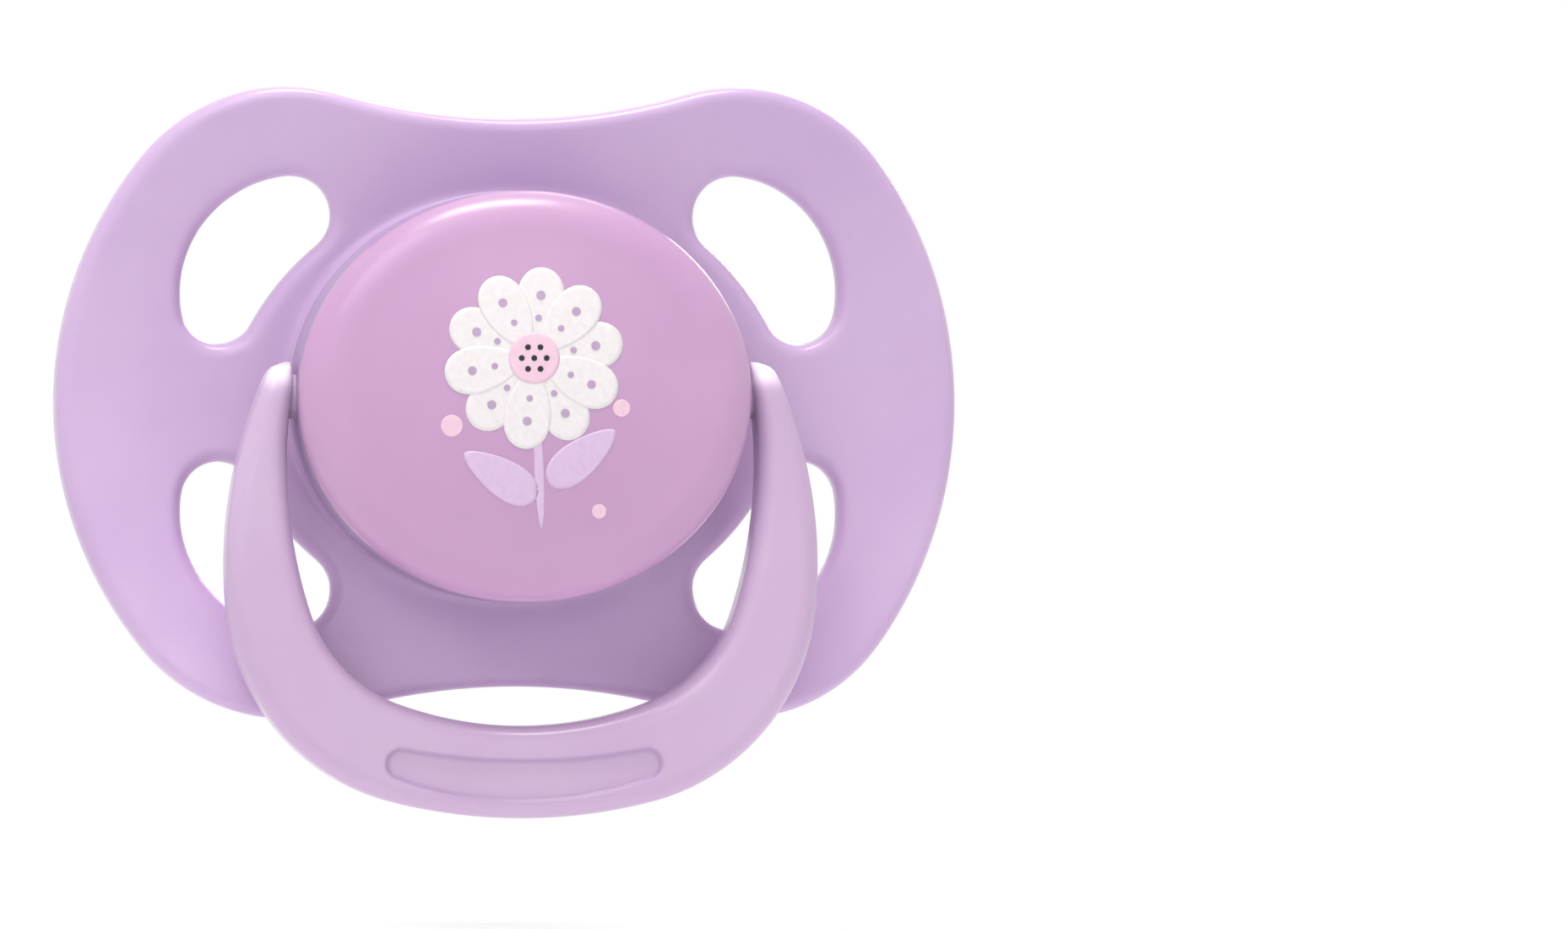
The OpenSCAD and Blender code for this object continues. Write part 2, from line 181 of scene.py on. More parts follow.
def vent_outline(way_x, way_z):
    """One vent. way_x and way_z are 1 or -1, for right or left and upper or lower."""
    high_angle, low_angle = math.radians(40.2), math.radians(18)
    high_r, low_r, outer_r, inner_r = 2.7, 2.5, 8, 18
    high_reach = oval_reach(high_angle) + 2.3 + high_r
    low_reach = oval_reach(low_angle) + 3.2 + low_r
    high = (high_reach * math.cos(high_angle), high_reach * math.sin(high_angle))
    low = (low_reach * math.cos(low_angle), low_reach * math.sin(low_angle))
    outer = meet(low, outer_r - low_r, high, outer_r - high_r, 1)
    inner = meet(low, inner_r + low_r, high, inner_r + high_r, 1)
    points = outline([(*low, low_r), (*outer, outer_r), (*high, high_r), (*inner, -inner_r)])
    return points * (way_x, way_z) + (0, shield_z)


print(f"side radius {side_r:.2f} mm, notch radius {notch_r:.2f} mm")

# %% The saddle's two faces
chin_r = 100
front_y, front_r, back_r = -2.2, 145, 102
fillet = 0.45


def saddle_y(x, z, middle_y, cheek_r):
    waist = cheek_r + chin_r - math.sqrt(chin_r**2 - (z - shield_z) ** 2)
    return middle_y + cheek_r - math.sqrt(waist**2 - x**2)


def front_face_y(x, z):
    """The front face, with the low boss that carries the hub and a fillet round its foot."""
    y = saddle_y(x, z, front_y, front_r)
    angle = math.atan2(z, x)
    out = math.hypot(x, z) - oval_reach(angle)
    if out < -0.01:
        return land_y
    foot = min(fillet, 0.7 * (y - land_y))
    near = 1 - min(max(out / fillet, 0), 1)
    return y - foot * (1 - math.sqrt(1 - near**2))


# %% Loops from the teat's hole to the edge
columns = 256
teat_hole = 3.75
hub_rows = (-1.0, -0.02, 0.0, 0.05, 0.15, fillet)
plate_rows = 14
rim_band, rim_r = 1.2, 0.95


def ray_reach(points, angle):
    """How far a closed outline reaches from the middle at an angle."""
    around = np.arctan2(points[:, 1], points[:, 0]) % (2 * math.pi)
    order = np.argsort(around)
    return float(np.interp(angle, around[order], np.hypot(*points.T)[order], period=2 * math.pi))


def rays(reaches):
    return np.array(reaches)[:, None] * directions


def make_loop(bm, points):
    ring = bmesh.ops.create_circle(bm, segments=len(points), radius=1)["verts"]
    for vert, (x, z) in zip(ring, points):
        vert.co = (x, 0, z)
    return ring


def bridge(bm, inner, outer):
    """Faces between two loops of vertices."""
    edges = {e for ring in (set(inner), set(outer)) for v in ring for e in v.link_edges
             if e.other_vert(v) in ring}
    bmesh.ops.bridge_loops(bm, edges=list(edges))


angles = [2 * math.pi * i / columns for i in range(columns)]
directions = np.array([(math.cos(t), math.sin(t)) for t in angles])
hub_reaches = np.array([oval_reach(t) for t in angles])
edge_points = rays([ray_reach(shield_edge, t) for t in angles])
band_points = beside(edge_points, -rim_band)
plate = bmesh.new()
loops = [rays(np.full(columns, teat_hole)), rays((teat_hole + hub_reaches) / 2)]
loops += [rays(hub_reaches + step) for step in hub_rows]
foot_row = len(loops) - 1
foot = loops[foot_row]
loops += [foot + (band_points - foot) * k / plate_rows for k in range(1, plate_rows + 1)]
net = [make_loop(plate, points) for points in loops]
for inner, outer in zip(net, net[1:]):
    bridge(plate, inner, outer)
print("net of", len(net), "loops,", len(plate.faces), "faces")

# %% [markdown]
# ### Opening the vents
# Each vent takes a patch of the net. The patch's faces go, the vertices round it move to even
# steps round the vent, and smoothing then spreads the strain over the rest of the net. The net
# stops a rim's width short of every edge, so that the rim gets a clean band of its own.

# %% Vents opened in the net
pinned = {v for ring in net[:foot_row + 1] + net[-1:] for v in ring}
open_edges = [(net[-1], edge_points)]
low_row, high_row = foot_row + 2, foot_row + 8
half_span = 15
ends = high_row - low_row
end_reach = 2.3
for way_x in (1, -1):
    for way_z in (1, -1):
        vent = vent_outline(way_x, way_z)[::way_x * way_z]
        reach = np.hypot(*vent.T)
        around = np.unwrap(np.arctan2(vent[:, 1], vent[:, 0]))
        mid_angle = (around.min() + around.max()) / 2
        mid = round(mid_angle / (2 * math.pi) * columns)
        middle_top = np.argmin(np.abs(around - mid_angle) + (reach < reach.mean()))
        vent = np.roll(vent, -middle_top, axis=0)
        around = np.roll(around, -middle_top)
        across = [(mid + k) % columns for k in range(-half_span, half_span + 1)]
        block = {net[j][i] for j in range(low_row, high_row + 1) for i in across}
        border = [net[high_row][i] for i in across]
        border += [net[j][across[-1]] for j in range(high_row - 1, low_row, -1)]
        border += [net[low_row][i] for i in reversed(across)]
        border += [net[j][across[0]] for j in range(low_row + 1, high_row)]
        border = border[half_span:] + border[:half_span]
        far, near = ways(vent)[[np.argmax(around), np.argmin(around)]]
        corners = [0, far - end_reach, far + end_reach, near - end_reach, near + end_reach]
        numbers = np.cumsum([0, half_span, ends, 2 * half_span, ends, half_span])
        points = along(vent, np.interp(range(len(border)), numbers, corners + [ways(vent)[-1]]))
        for vert, (x, z) in zip(border, beside(points, rim_band)):
            vert.co = (x, 0, z)
        pinned |= set(border)
        open_edges.append((border, points))
        faces = [f for f in plate.faces if all(v in block for v in f.verts)]
        bmesh.ops.delete(plate, geom=faces, context="FACES")

free = [v for v in plate.verts if v not in pinned]
for _ in range(80):
    bmesh.ops.smooth_vert(plate, verts=free, factor=0.5, use_axis_x=True, use_axis_z=True)
for loop, points in open_edges:
    ring = set(loop)
    edges = [e for e in plate.edges if e.is_boundary and e.verts[0] in ring and e.verts[1] in ring]
    new = bmesh.ops.extrude_edge_only(plate, edges=edges)["geom"]
    new = {v for v in new if isinstance(v, bmesh.types.BMVert)}
    for vert, (x, z) in zip(loop, points):
        rim_vert = next(e.other_vert(vert) for e in vert.link_edges if e.other_vert(vert) in new)
        rim_vert.co = (x, 0, z)
print("shield net has", len(plate.faces), "faces round four vents")

# %% [markdown]
# ### Thickness and rounded rims
# The flat net gets its wall with solidify, and each side is bent onto its own face of the saddle:
# the front is flatter than the back, so the shield is thickest at its left and right rims. The
# bevel comes last, on the edges between face and rim. The teat's hole stays sharp, because the
# flange of the teat covers it.

# %% Bending the shield
flat = set(plate.verts)
bmesh.ops.solidify(plate, geom=plate.faces[:], thickness=1)
for vert in plate.verts:
    x, z = vert.co.x, vert.co.z
    vert.co.y = saddle_y(x, z, 0, back_r) if vert in flat else front_face_y(x, z)
bmesh.ops.recalc_face_normals(plate, faces=plate.faces)


def is_rim(edge):
    outside = all(math.hypot(v.co.x / hub_a, v.co.z / hub_b) > 1.1 for v in edge.verts)
    return outside and edge.calc_face_angle(0) > math.radians(60)


bmesh.ops.bevel(
    plate, geom=[e for e in plate.edges if is_rim(e)], offset=rim_r, affect="EDGES", segments=5,
    profile=0.5, material=-1, clamp_overlap=True)
thick = [f.calc_area() for f in plate.faces]
shield = finish_mesh(plate, "shield_shell")
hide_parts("shield")
rounder = shield.modifiers.new("rounder", "SUBSURF")
rounder.levels = rounder.render_levels = 1
print(f"smallest face {min(thick):.4f} mm2")

# %% [markdown]
# ## The cover
# The cover is a shallow oval dome with a soft shoulder. Its profile is spun into a round cap
# first, which gives clean rings, and the rings are then pressed from round to oval.

# %% Cover profile
crown, shoulder = 0.9, 3.0
cover_wall = 1.3
shoulder_rise = seam_y - apex_y - crown


def crown_y(x, z):
    """The cover's front at a place inside its shoulder."""
    t2 = (x / (hub_a - shoulder)) ** 2 + (z / (hub_b - shoulder)) ** 2
    return apex_y + crown * t2


def ovalise(verts):
    """Presses round rings, as wide as the hub, into the oval of the hub."""
    for vert in verts:
        radius = math.hypot(vert.co.x, vert.co.z)
        inner = hub_a - shoulder
        inset = hub_a - radius
        squash_z = (hub_b - inset) / radius if radius > inner else (hub_b - shoulder) / inner
        vert.co.z *= squash_z


def spin_profile(points, steps=96):
    """Spins a profile of (radius, y) points round the Y axis into a skin."""
    bm = bmesh.new()
    verts = [bm.verts.new((r, y, 0)) for r, y in points]
    edges = [bm.edges.new(pair) for pair in zip(verts, verts[1:])]
    bmesh.ops.spin(
        bm, geom=verts + edges, cent=(0, 0, 0), axis=(0, 1, 0), dvec=(0, 0, 0),
        angle=2 * math.pi, steps=steps, use_merge=True)
    bmesh.ops.remove_doubles(bm, verts=bm.verts, dist=1e-4)
    bmesh.ops.recalc_face_normals(bm, faces=bm.faces)
    return bm


lip_r = 0.12
inner = hub_a - shoulder
profile = [(inner * k / 10, apex_y + crown * (k / 10) ** 2) for k in range(10)]
for k in range(13):
    turn = math.radians(90 * (1 - k / 12))
    inset = shoulder * (1 - math.cos(turn))
    profile.append((hub_a - inset, seam_y - lip_r - (shoulder_rise - lip_r) * math.sin(turn)))
profile += [(hub_a - 0.3 * lip_r, seam_y - 0.3 * lip_r), (hub_a - lip_r, seam_y)]
wall_r = hub_a - 2.6
profile += [(wall_r, seam_y), (wall_r, seam_y - 1.0), (wall_r - 0.5, seam_y - 1.4), (0, seam_y - 1.4)]
cap = spin_profile(profile)
ovalise(cap.verts)
cover = finish_mesh(cap, "cover_cap")
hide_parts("cover")

# %% [markdown]
# ## The ring
# The ring is one moulding: two arms, a wide bottom and two pins pointing inwards. Its front is a
# strip between two compass outlines, so a plain grid can be laid along it. The strip gets its
# thickness with solidify, and every vertex then takes the depth of a soft cushion: full in the
# middle, rounded at both edges, and pressed in at the thumb pad.

# %% The ring's two outlines
arm_in, opening = 15.75, 16.1
ring_out, ring_reach = ring_high.x, -ring_low.z
bar_h = 6.3
end_r = ring_high.z
pin_r, pin_tip = 1.5, 12.2


def half_outline(half_x, wide_z, bottom, bottom_r, corner_r, arm_r, counts):
    """From the middle of the bottom, round the corner and up the right arm."""
    base = (0, bottom_r - bottom)
    arm = (half_x - arm_r, wide_z)
    corner = meet(base, bottom_r - corner_r, arm, arm_r - corner_r, 1)
    low, high = heading(base, corner), heading(arm, corner)
    top = math.asin((end_r - wide_z) / arm_r)
    points = arc((*base, bottom_r), -math.pi / 2, low, counts[0])
    points += arc((*corner, corner_r), low, high, counts[1])[1:]
    return points + arc((*arm, arm_r), high, top, counts[2])[1:]


counts = (56, 90, 50)
outer = half_outline(ring_out, -11.5, ring_reach, 36, 15, 31.5, counts)
inner = half_outline(opening, -4.5, ring_reach - bar_h, 25, 10, 33, counts)
inner = [(max(x, arm_in) if z > -4 else x, z) for x, z in inner]
corner_r = 0.85


def round_corner(x, z):
    """Pulls the outline in where the end of the arm turns its outer corner."""
    up = min(corner_r, max(0, z - end_r + corner_r))
    return x - corner_r + math.sqrt(corner_r**2 - up**2), z


outer = [round_corner(x, z) for x, z in outer]
print(f"ring runs {ways(np.array(outer))[-2]:.1f} mm from its bottom to the end of an arm")

# %% [markdown]
# The thumb pad is a flat crescent: a long circle below, a hollow one above, and a small one at each
# end. How far inside the crescent a place lies decides how deep it is pressed.

# %% The thumb pad
pad_w, pad_h, pad_margin, pad_depth = 18.8, 2.75, 1.2, 0.35
pad_low_r, pad_end_r = 25, 1
pad_z = pad_margin - ring_reach
pad_end_x = pad_w / 2 - pad_end_r
pad_end_z = pad_z + pad_low_r - math.sqrt((pad_low_r - pad_end_r) ** 2 - pad_end_x**2)
pad_rise = pad_z + pad_h - pad_end_z
pad_high_r = (pad_end_x**2 + pad_rise**2 - pad_end_r**2) / (2 * (pad_end_r - pad_rise))


def smooth_step(value):
    value = min(1, max(0, value))
    return value * value * (3 - 2 * value)


def inside_pad(x, z):
    x = abs(x)
    below = pad_low_r - math.hypot(x, z - pad_z - pad_low_r)
    above = math.hypot(x, z - pad_z - pad_h - pad_high_r) - pad_high_r
    tip = pad_end_r - math.hypot(x - pad_end_x, z - pad_end_z)
    return max(min(below, above, pad_end_x - x), tip)


# %% The ring from one strip
rows = 2 * sum(counts)
strip_cols = 72
ring = bmesh.new()
bmesh.ops.create_grid(ring, x_segments=rows, y_segments=strip_cols, size=1)
flat_place = {}
ring.verts.index_update()
for vert in ring.verts:
    u, v = vert.co.x, vert.co.y
    i = round(abs(u) * sum(counts))
    w = (1 - math.cos(math.pi * (v + 1) / 2)) / 2
    (x1, z1), (x2, z2) = outer[i], inner[i]
    side = -1 if u < 0 else 1
    vert.co = (side * (x1 + (x2 - x1) * w), 0, z1 + (z2 - z1) * w)
    width = math.dist(outer[i], inner[i])
    flat_place[vert.index] = (width * w, width * (1 - w))


def cushion(x, z, near_edge, width):
    """Half the ring's thickness at a place near_edge away from the closest edge."""
    full = math.sqrt(max(0, end_r**2 - max(0, z) ** 2))
    soft = min(1.35, 0.45 * width, full)
    drop = soft - math.sqrt(max(0, soft**2 - max(0, soft - near_edge) ** 2))
    return full - drop - pad_depth * smooth_step(inside_pad(x, z) / 0.2 + 0.5)


depth = ring.verts.layers.float.new("depth")
painted_crease_shade = ring.verts.layers.float.new("painted_crease_shade")
tip = ring.verts.layers.float.new("tip")
for vert in ring.verts:
    a, b = flat_place[vert.index]
    vert[depth] = cushion(vert.co.x, vert.co.z, min(a, b), a + b)
    # Painted shade: this layer darkens the ring's colour in a thin line round the border of the thumb pad.
    vert[painted_crease_shade] = math.exp(-(inside_pad(vert.co.x, vert.co.z) / 0.16) ** 2)
    # Painted highlight: this layer makes the ring's colour paler towards the tops of the arms.
    vert[tip] = smooth_step((vert.co.z - 0.3) / 1.2)
one_side = set(ring.verts)
ring.normal_update()
bmesh.ops.solidify(ring, geom=ring.faces[:], thickness=1)
for vert in ring.verts:
    vert.co.y = pivot_y + (vert[depth] if vert in one_side else -vert[depth])
bmesh.ops.remove_doubles(ring, verts=ring.verts, dist=1e-3)
for side in (1, -1):
    pin = bmesh.ops.create_cone(
        ring, cap_ends=True, segments=48, radius1=pin_r, radius2=pin_r, depth=arm_in + 0.5 - pin_tip)["verts"]
    bmesh.ops.rotate(ring, verts=pin, cent=(0, 0, 0), matrix=Matrix.Rotation(math.pi / 2, 3, "Y"))
    bmesh.ops.translate(ring, verts=pin, vec=(side * (arm_in + 0.5 + pin_tip) / 2, pivot_y, 0))
bmesh.ops.recalc_face_normals(ring, faces=ring.faces)
handle = finish_mesh(ring, "ring_moulding", body="ring")
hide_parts("ring_handle")

# %% [markdown]
# ## The teat
# The teat is one hollow piece of clear silicone: a round neck, a bulb a little wider than it is
# high, and a flat flange that is clamped behind the shield. One closed profile, outside and
# inside, is spun round, and each ring is then widened from left to right.

# %% The teat's profile
bulb_z, bulb_x, bulb_back, neck_len = 13.3 / 2, 16 / 2, 8.6, 11.5
neck_low, neck_high = 7.3 / 2, 9.3 / 2
teat_wall, flange_t = 1.5, 1.2
flange_r = teat_high.x if teat_high.x > bulb_x else 16.8 / 2
widest_y = teat_high.y - bulb_back


def teat_half(y, full, inset=0):
    """Half size of the teat at y, for a bulb of half size full, or of its hollow."""
    if y <= neck_len:
        return neck_low + (neck_high - neck_low) * max(0, y / neck_len) - inset
    if y <= widest_y:
        turn = math.pi * (y - neck_len) / (widest_y - neck_len)
        return neck_high + (full - neck_high) * (1 - math.cos(turn)) / 2 - inset
    past = min(1, (y - widest_y) / (bulb_back - inset))
    return (full - inset) * (1 - past**2.2) ** (1 / 2.2)


def teat_side(inset):
    """The profile from the front of the neck to the tip."""
    tip = teat_high.y - inset
    straight = np.linspace(teat_low.y + flange_t, widest_y, 44)
    turned = widest_y + (tip - widest_y) * np.sin(np.linspace(0, math.pi / 2, 26)[1:])
    ys = [float(y) for y in [*straight, *turned]]
    return [(max(0, teat_half(y, bulb_z, inset)), y) for y in ys[:-1]] + [(0, tip)]


skin = teat_side(0)[::-1]
flange_back, flange_front = teat_low.y + flange_t, teat_low.y
profile = skin + [(flange_r - 0.2, flange_back), (flange_r, flange_back - 0.2)]
profile += [(flange_r, flange_front + 0.2), (flange_r - 0.2, flange_front)]
profile += [(neck_low - teat_wall, flange_front)] + teat_side(teat_wall)
teat_bm = spin_profile(profile)
for vert in teat_bm.verts:
    y, radius = vert.co.y, math.hypot(vert.co.x, vert.co.z)
    if y > neck_len:
        hollow = radius < teat_half(y, bulb_z) - teat_wall / 2 and y < teat_high.y - teat_wall / 2
        inset = teat_wall if hollow else 0
        round_half = teat_half(y, bulb_z, inset)
        if round_half > 1e-6:
            vert.co.x *= teat_half(y, bulb_x, inset) / round_half
teat = finish_mesh(teat_bm, "teat_skin")
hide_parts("teat")

# %% [markdown]
# ## The print
# A pad printer lays down thin films of ink, one colour at a time. Each patch here is a round net
# pressed into a petal, leaf or dot, laid on the dome of the cover and given a film's thickness.
# Later colours lie on earlier ones.

# %% Ink patches
film = 0.02


def ink_patch(bm, centre, size, turn=0, layer=0, taper=0.0, bend=0.0):
    """A patch of ink: size is its half length and half width; taper narrows one end."""
    net = bmesh.new()
    verts = [net.verts.new((k / 8, 0, 0)) for k in range(9)]
    edges = [net.edges.new(pair) for pair in zip(verts, verts[1:])]
    bmesh.ops.spin(
        net, geom=verts + edges, cent=(0, 0, 0), axis=(0, 1, 0), dvec=(0, 0, 0),
        angle=2 * math.pi, steps=40, use_merge=True)
    bmesh.ops.remove_doubles(net, verts=net.verts, dist=1e-4)
    for vert in net.verts:
        u, v = vert.co.x, vert.co.z
        length = u * size[0]
        width = v * size[1] * (1 - taper * u) + bend * (1 - u * u) * size[1]
        x = centre[0] + length * math.cos(turn) - width * math.sin(turn)
        z = centre[1] + length * math.sin(turn) + width * math.cos(turn)
        vert.co = (x, crown_y(x, z) - film * (layer + 1), z)
    bmesh.ops.recalc_face_normals(net, faces=net.faces)
    if sum(f.normal.y for f in net.faces) > 0:
        bmesh.ops.reverse_faces(net, faces=net.faces)
    bmesh.ops.solidify(net, geom=net.faces[:], thickness=film)
    bmesh.ops.recalc_face_normals(net, faces=net.faces)
    patch = bpy.data.meshes.new("patch")
    net.to_mesh(patch)
    net.free()
    bm.from_mesh(patch)
    bpy.data.meshes.remove(patch)


inks = {name: bmesh.new() for name in ("white", "lilac", "blush", "dots", "black")}
flower = Vector((0.3, 2.6))
petals = 10
for k in range(petals):
    turn = 2 * math.pi * k / petals + 0.2
    way = Vector((math.cos(turn), math.sin(turn)))
    ink_patch(inks["white"], flower + way * 3.5, (2.7, 1.55), turn, layer=k % 2, taper=-0.3)
    ink_patch(inks["dots"], flower + way * 4.3, (0.3, 0.3), layer=2)
    ink_patch(inks["dots"], flower + way * 2.75, (0.22, 0.22), layer=2)
ink_patch(inks["blush"], flower, (1.75, 1.75), layer=2)
for k in range(6):
    turn = 2 * math.pi * k / 6
    way = Vector((math.cos(turn), math.sin(turn)))
    ink_patch(inks["black"], flower + way * 0.85, (0.2, 0.2), layer=3)
ink_patch(inks["black"], flower, (0.2, 0.2), layer=3)
ink_patch(inks["lilac"], flower + Vector((0.35, -7.6)), (4.0, 0.32), math.radians(93), layer=0)
ink_patch(inks["lilac"], flower + Vector((-2.3, -8.0)), (2.9, 1.25), math.radians(148), layer=0, taper=0.35)
ink_patch(inks["lilac"], flower + Vector((3.3, -6.7)), (2.9, 1.25), math.radians(38), layer=0, taper=0.35)
ink_patch(inks["blush"], flower + Vector((-5.6, -4.6)), (0.75, 0.75), layer=0)
ink_patch(inks["blush"], flower + Vector((6.0, -3.4)), (0.6, 0.6), layer=0)
ink_patch(inks["blush"], flower + Vector((0.9 + 3.6, -10.4)), (0.5, 0.5), layer=0)
prints = {name: finish_mesh(bm, "print_" + name) for name, bm in inks.items()}

# %% [markdown]
# ## Shader arithmetic
# A socket wrapped in a small class can be added and multiplied like a number. Everything that
# isn't arithmetic goes through one method, which makes a node from its type, settings and inputs.

# %% The socket class
class Wire:
    """A shader socket. Arithmetic on it makes Math nodes in the same tree."""

    def __init__(self, tree, socket=None):
        self.tree = tree
        self.socket = socket

    def node(self, kind, settings=None, inputs=None, out=0):
        made = self.tree.nodes.new(kind)
        for name, value in (settings or {}).items():
            setattr(made, name, value)
        for name, value in (inputs or {}).items():
            if isinstance(value, Wire):
                self.tree.links.new(value.socket, made.inputs[name])
            else:
                made.inputs[name].default_value = value
        return Wire(self.tree, made.outputs[out] if made.outputs else None)

    def math(self, operation, *values):
        return self.node("ShaderNodeMath", {"operation": operation}, dict(enumerate(values)))

    def __add__(self, other):
        return self.math("ADD", self, other)

    def __sub__(self, other):
        return self.math("SUBTRACT", self, other)

    def __rsub__(self, other):
        return self.math("SUBTRACT", other, self)

    def __mul__(self, other):
        return self.math("MULTIPLY", self, other)

    def __truediv__(self, other):
        return self.math("DIVIDE", self, other)

    __radd__ = __add__
    __rmul__ = __mul__

    def step(self, low, high):
        """A soft step from 0 at low to 1 at high."""
        return self.node(
            "ShaderNodeMapRange", {"interpolation_type": "SMOOTHSTEP"},
            {"Value": self, "From Min": low, "From Max": high})


def blend_colours(factor, first, second):
    return factor.node(
        "ShaderNodeMix", {"data_type": "RGBA"}, {"Factor": factor, 6: first, 7: second}, out=2)


def start_material(name):
    material = bpy.data.materials.new(name)
    material.use_nodes = True
    material.node_tree.nodes.clear()
    return material, Wire(material.node_tree)


def end_material(material, wire, shader):
    wire.node("ShaderNodeOutputMaterial", inputs={"Surface": shader})
    return material


def paint(material, *pieces):
    for piece in pieces:
        piece.data.materials.clear()
        piece.data.materials.append(material)
    print(material.name, "on", ", ".join(piece.name for piece in pieces))


def places(wire):
    """The place on the piece in millimetres."""
    spot = wire.node("ShaderNodeTexCoord", out=3)
    return wire.node("ShaderNodeVectorMath", {"operation": "SCALE"}, {0: spot, "Scale": 1 / mm})


def srgb(text):
    """A colour written as six hexadecimal digits, as linear light."""
    values = [int(text[i:i + 2], 16) / 255 for i in (0, 2, 4)]
    linear = [v / 12.92 if v <= 0.04045 else ((v + 0.055) / 1.055) ** 2.4 for v in values]
    return (*linear, 1)


# %% [markdown]
# ## Satin plastic
# Polypropylene for baby goods is moulded in a tool with a fine spark-eroded grain. Three things
# make it look right: a grain far smaller than a millimetre that softens the highlight, a gloss
# that wanders a little where hands and the mould's polish differ, and some light under the skin.
# The colour itself barely changes: slow cloudy streaks from the way the melt ran into the mould.
# On the ring, two attributes paint light into the colour: painted shade in a thin line round the
# thumb pad, and a painted highlight that makes the tops of the arms paler.

# %% Plastic
def plastic(name, colour, deep, painted_shade_colour=srgb("a27fb0"), gloss=0.36, grain=0.012, seed=0.0):
    material, wire = start_material(name)
    spot = places(wire)
    moved = wire.node("ShaderNodeVectorMath", {"operation": "ADD"}, {0: spot, 1: (seed, seed, seed)})
    flow = wire.node("ShaderNodeTexNoise", inputs={"Vector": moved, "Scale": 0.07, "Detail": 3.0})
    hands = wire.node("ShaderNodeTexNoise", inputs={"Vector": moved, "Scale": 0.35, "Detail": 5.0})
    fine = wire.node("ShaderNodeTexNoise", inputs={"Vector": moved, "Scale": 5.0, "Detail": 3.0})
    tint = blend_colours(flow.step(0.3, 0.7), deep, colour)
    # Painted shade: the crease attribute darkens the colour towards a shade colour round the thumb pad.
    painted_crease_shade = wire.node("ShaderNodeAttribute", {"attribute_name": "painted_crease_shade"}, out=2)
    tint = blend_colours(painted_crease_shade * 0.5, tint, painted_shade_colour)
    # Painted highlight: the tip attribute lightens the colour towards a pale pink on the tops of the arms.
    tip = wire.node("ShaderNodeAttribute", {"attribute_name": "tip"}, out=2)
    tint = blend_colours(tip * 0.9, tint, srgb("f0e2ee"))
    rough = gloss - 0.05 + hands * 0.1 + fine * 0.04
    bump = wire.node(
        "ShaderNodeBump", inputs={"Height": fine, "Strength": 0.35, "Distance": grain * mm})
    shader = wire.node("ShaderNodeBsdfPrincipled", inputs={
        "Base Color": tint, "Roughness": rough, "Normal": bump, "IOR": 1.49,
        "Specular IOR Level": 0.45, "Coat Weight": 0.3, "Coat Roughness": 0.16, "Subsurface Weight": 0.25, "Subsurface Scale": 0.8 * mm,
        "Subsurface Radius": (1.0, 0.7, 0.9)})
    return end_material(material, wire, shader)


lilac = plastic("satin_lilac", srgb("ceb1d4"), srgb("c7a9d0"))
mauve = plastic("satin_mauve", srgb("c79ec3"), srgb("c298bf"), gloss=0.32, seed=30)
pale = plastic("satin_pale_lilac", srgb("cbb0ce"), srgb("c7aaca"), gloss=0.28, seed=60)
# Painted shade: the hub's drum gets a darker, greyer copy of the shield's lilac, standing in for the shadow
# beside the hub.
drum = plastic("satin_drum_painted_shade", srgb("b098bc"), srgb("a78fb4"), gloss=0.42, seed=90)
paint(lilac, shield)
paint(mauve, cover)
paint(pale, handle)
hub = frame["nodes"]["hub_housing"]
paint(drum, hub)

# %% [markdown]
# ## Silicone
# The teat is moulded in clear silicone and its bulb is frosted, so it is a clear shell with a
# milky share that starts a little above the neck. Fine scratches of the frosting blur what is
# behind. The plug inside the neck is a soft pink nub.

# %% Silicone
frost_y = 15.3
material, wire = start_material("clear_silicone")
spot = places(wire)
split = wire.node("ShaderNodeSeparateXYZ", inputs={"Vector": spot}, out=1)
frost = split.step(frost_y - 0.15, frost_y + 0.15)
cloud = wire.node("ShaderNodeTexNoise", inputs={"Vector": spot, "Scale": 0.5, "Detail": 4.0})
grit = wire.node("ShaderNodeTexNoise", inputs={"Vector": spot, "Scale": 7.0, "Detail": 4.0})
bump = wire.node("ShaderNodeBump", inputs={"Height": grit, "Strength": 0.3, "Distance": 0.01 * mm})
clear = wire.node("ShaderNodeBsdfPrincipled", inputs={
    "Base Color": srgb("fbfafa"), "Roughness": 0.06 + frost * 0.22 + cloud * 0.05, "IOR": 1.41,
    "Transmission Weight": 1.0, "Normal": bump})
milky = wire.node("ShaderNodeBsdfPrincipled", inputs={
    "Base Color": srgb("faf8f8"), "Roughness": 0.22 + cloud * 0.1, "Normal": bump,
    "Subsurface Weight": 1.0, "Subsurface Scale": 3 * mm, "Subsurface Radius": (1.0, 1.0, 1.0)})
share = 0.05 + frost * (0.12 + cloud * 0.1)
silicone = wire.node("ShaderNodeMixShader", inputs={0: share, 1: clear, 2: milky})
paint(end_material(material, wire, silicone), teat)
nub = plastic("nub_plastic", srgb("dcb4cf"), srgb("d6acc9"), gloss=0.3, seed=120)
paint(nub, frame["nodes"]["teat_plug"])

# %% [markdown]
# ## Ink
# Printed ink is a dry film: almost no gloss of its own, a little uneven at the edge of each stroke,
# and with a faint weave of the printing pad in it.

# %% Ink colours
def ink(name, colour, deep, gloss=0.42):
    material, wire = start_material(name)
    spot = places(wire)
    weave = wire.node("ShaderNodeTexNoise", inputs={"Vector": spot, "Scale": 2.4, "Detail": 6.0})
    pores = wire.node("ShaderNodeTexVoronoi", inputs={"Vector": spot, "Scale": 6.0})
    tint = blend_colours(weave.step(0.25, 0.75), deep, colour)
    bump = wire.node(
        "ShaderNodeBump", inputs={"Height": pores, "Strength": 0.2, "Distance": 0.004 * mm})
    shader = wire.node("ShaderNodeBsdfPrincipled", inputs={
        "Base Color": tint, "Roughness": gloss + weave * 0.1, "Normal": bump})
    return end_material(material, wire, shader)


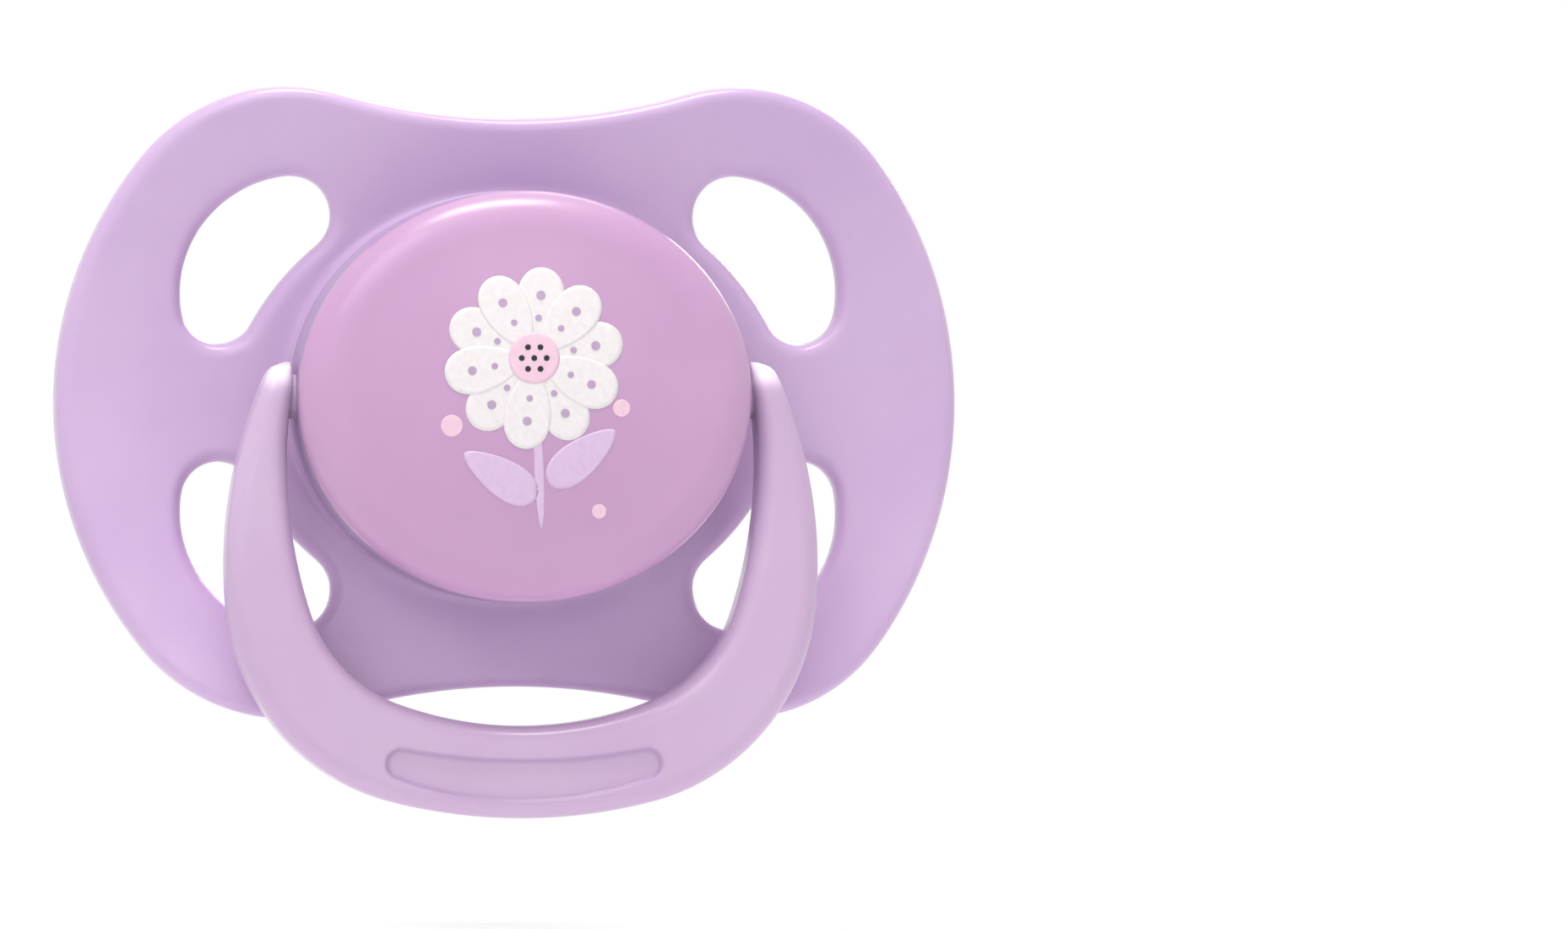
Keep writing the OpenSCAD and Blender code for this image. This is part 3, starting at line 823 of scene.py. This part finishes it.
ink_colours = {
    "white": ("ebe6e5", "e5dfde"), "lilac": ("d8bddb", "d3b5d6"), "blush": ("ecc9d9", "e7c1d3"),
    "dots": ("bba3bf", "b298b8"), "black": ("1d1a1d", "141214")}
for name, (colour, deep) in ink_colours.items():
    paint(ink("ink_" + name, srgb(colour), srgb(deep)), prints[name])

# %% [markdown]
# ## Floor, light and camera
# The pacifier is shown on plain white. One broad soft light from above gives the rims their bright
# line, a weaker one fills from the front left, and the white of the room does the rest. The floor
# is white where the camera looks straight at it, so that only a breath of shadow stays.

# %% Floor
def looked_at(wire):
    """1 for rays that come straight from the camera, from a gloss or through the silicone."""
    camera_ray = wire.node("ShaderNodeLightPath", out="Is Camera Ray")
    gloss_ray = wire.node("ShaderNodeLightPath", out="Is Glossy Ray")
    through_ray = wire.node("ShaderNodeLightPath", out="Is Transmission Ray")
    return camera_ray.math("MAXIMUM", camera_ray.math("MAXIMUM", camera_ray, gloss_ray), through_ray)


floor_bm = bmesh.new()
bmesh.ops.create_grid(floor_bm, x_segments=1, y_segments=1, size=6)
for vert in floor_bm.verts:
    vert.co.z = (ring_low.z - 8) * mm
floor_mesh = bpy.data.meshes.new("floor")
floor_bm.to_mesh(floor_mesh)
floor_bm.free()
floor = bpy.data.objects.new("floor", floor_mesh)
bpy.context.scene.collection.objects.link(floor)
material, wire = start_material("white_floor")
away = wire.node("ShaderNodeVectorMath", {"operation": "LENGTH"}, {0: places(wire)}, out=1)
open_floor = away.step(60, 220)
matt = wire.node("ShaderNodeBsdfDiffuse", inputs={"Color": (0.86, 0.86, 0.87, 1)})
white = wire.node("ShaderNodeEmission", inputs={"Color": (1, 1, 1, 1), "Strength": 1.0})
shown = wire.node(
    "ShaderNodeMixShader", inputs={0: looked_at(wire) * (0.7 + 0.3 * open_floor), 1: matt, 2: white})
paint(end_material(material, wire, shown), floor)

# %% The room
world = bpy.data.worlds.new("white_room")
bpy.context.scene.world = world
world.use_nodes = True
world.node_tree.nodes.clear()
wire = Wire(world.node_tree)
plain = wire.node("ShaderNodeBackground", inputs={"Color": (1, 1, 1, 1), "Strength": 1.0})
ambient = wire.node("ShaderNodeBackground", inputs={"Color": (0.97, 0.96, 1, 1), "Strength": 0.5})
both = wire.node("ShaderNodeMixShader", inputs={0: looked_at(wire), 1: ambient, 2: plain})
wire.node("ShaderNodeOutputWorld", inputs={"Surface": both})


def soft_light(name, place, aim, size, watts):
    lamp = bpy.data.lights.new(name, "AREA")
    lamp.shape = "RECTANGLE"
    lamp.size, lamp.size_y = size
    lamp.energy = watts
    light = bpy.data.objects.new(name, lamp)
    light.location = place
    light.rotation_euler = (Vector(aim) - Vector(place)).to_track_quat("-Z", "Y").to_euler()
    bpy.context.scene.collection.objects.link(light)
    return light


soft_light("top_light", (-0.03, -0.12, 0.60), (0, 0, 0), (0.3, 0.2), 3.0)
soft_light("key_light", (-0.28, -0.40, 0.40), (0, 0, 0), (0.3, 0.3), 0.8)
soft_light("front_light", (-0.18, -1.10, 0.12), (0, 0, 0), (0.8, 0.8), 1.1)
soft_light("low_light", (0.10, -0.90, -0.40), (0, 0, 0), (0.7, 0.5), 2.2)
soft_light("back_light", (0.30, 0.55, 0.35), (0, 0, 0), (0.4, 0.4), 2.6)

# %% The camera
turn = math.radians(-6.85)
ahead = Vector((-math.sin(turn), math.cos(turn), 0))
right = Vector((math.cos(turn), math.sin(turn), 0))
aim = (right * 18.80 + Vector((0, 0, -4.62))) * mm
distance, wide = 1.5, 107.3 * mm
view = bpy.data.cameras.new("camera")
view.sensor_width = 36
view.lens = 36 * distance / wide
view.clip_end = 50
camera = bpy.data.objects.new("camera", view)
camera.location = aim - ahead * distance
camera.rotation_euler = (math.pi / 2, 0, turn)
bpy.context.scene.collection.objects.link(camera)
bpy.context.scene.camera = camera
bpy.context.scene.view_settings.view_transform = "Standard"
print(f"lens {view.lens:.0f} mm, the picture is {wide / mm:.1f} mm wide")
